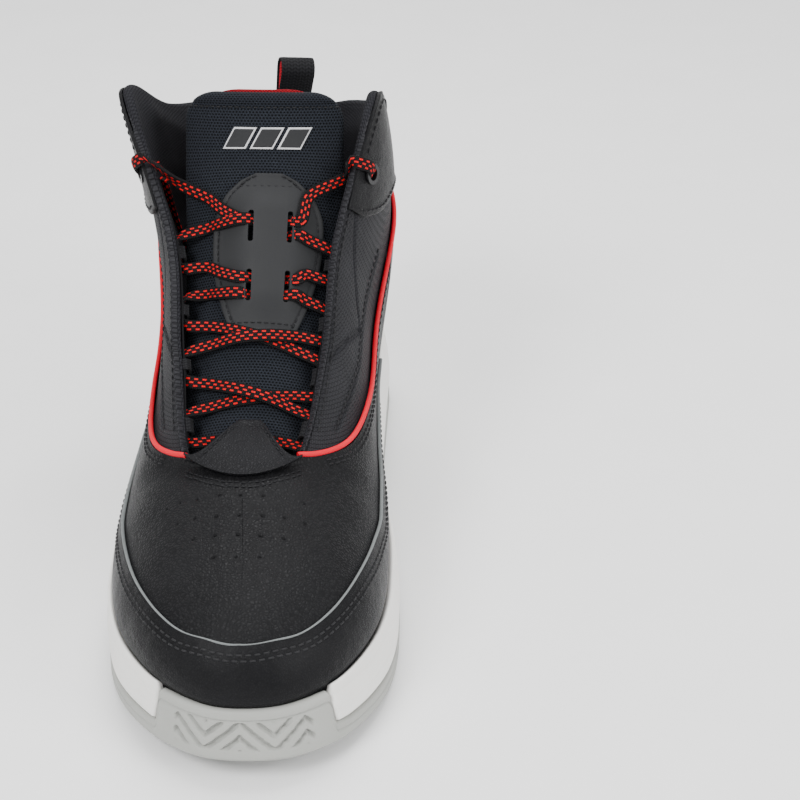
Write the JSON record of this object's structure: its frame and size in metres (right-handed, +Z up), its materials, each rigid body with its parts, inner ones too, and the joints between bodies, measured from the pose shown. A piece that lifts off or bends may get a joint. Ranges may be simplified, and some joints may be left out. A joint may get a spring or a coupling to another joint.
{
  "type": "basketball high top shoe",
  "caption": "High-top basketball shoe with a cup sole, layered leather upper, padded collar, laced throat with padded tongue, and a heel pull loop.",
  "frame": {"origin": "on the ground plane under the sole, at the middle of its length", "axes": "toe towards -Y, heel towards +Y, +Z up, medial (inner) side of a right foot towards +X"},
  "size_m": [0.1149, 0.3101, 0.18],
  "materials": {
    "outsole_rubber": "matte",
    "midsole_foam": "matte",
    "shank_plastic": "matte",
    "board": "matte",
    "insole_fabric": "matte",
    "tumbled_leather": "pebbled semi-gloss",
    "smooth_leather": "satin",
    "stiffener": "matte",
    "lining_fabric": "matte",
    "quarter_weave": "embossed weave",
    "red_trim": "matte",
    "foam": "open-cell foam, matte",
    "lining_mesh": "mesh",
    "webbing": "woven",
    "eyelet_metal": "black enamel",
    "red_lining": "brushed",
    "plate_rubber": "matte",
    "badge_rubber": "matte",
    "lace_cord": "woven",
    "aglet_plastic": "gloss"
  },
  "bodies": {
    "shoe": {"outsole": "outsole_rubber", "midsole": "midsole_foam", "shank": "shank_plastic", "strobel_board": "board", "insole": "insole_fabric", "vamp": "tumbled_leather", "mudguard": "smooth_leather", "toe_puff": "stiffener", "vamp_lining": "lining_fabric", "throat_tab": "smooth_leather", "quarter_lateral": "quarter_weave", "quarter_medial": "quarter_weave", "piping_lateral": "red_trim", "piping_medial": "red_trim", "collar_panel_lateral": "smooth_leather", "collar_panel_medial": "smooth_leather", "heel_panel": "smooth_leather", "heel_counter": "stiffener", "backstay": "smooth_leather", "collar_foam_lateral": "foam", "collar_foam_medial": "foam", "collar_lining_lateral": "lining_mesh", "collar_lining_medial": "lining_mesh", "eyestay_lateral": "board", "eyestay_medial": "board", "lace_loops_lateral": "webbing", "lace_loops_medial": "webbing", "eyelets": "eyelet_metal", "heel_loop_anchor": "webbing", "lace": "lace_cord", "lace_tail_lateral": "lace_cord", "lace_tail_medial": "lace_cord", "aglets": "aglet_plastic"},
    "tongue": {"tongue_cover": "lining_mesh", "tongue_foam": "foam", "tongue_lining": "red_lining", "tongue_plate": "plate_rubber", "tongue_badge": "badge_rubber"},
    "pull_loop": {"heel_loop": "webbing"}
  },
  "joints": [
    {"name": "tongue_hinge", "type": "hinge", "parent": "shoe", "child": "tongue", "pos_m": [-0.005, -0.07, 0.06], "axis": [1, 0, 0], "range_deg": [-10, 0], "deforming": ["lace"]},
    {"name": "pull_loop_hinge", "type": "hinge", "parent": "shoe", "child": "pull_loop", "pos_m": [0, 0.1481, 0.1358], "axis": [1, 0, 0], "range_deg": [-40, 15]}
  ]
}
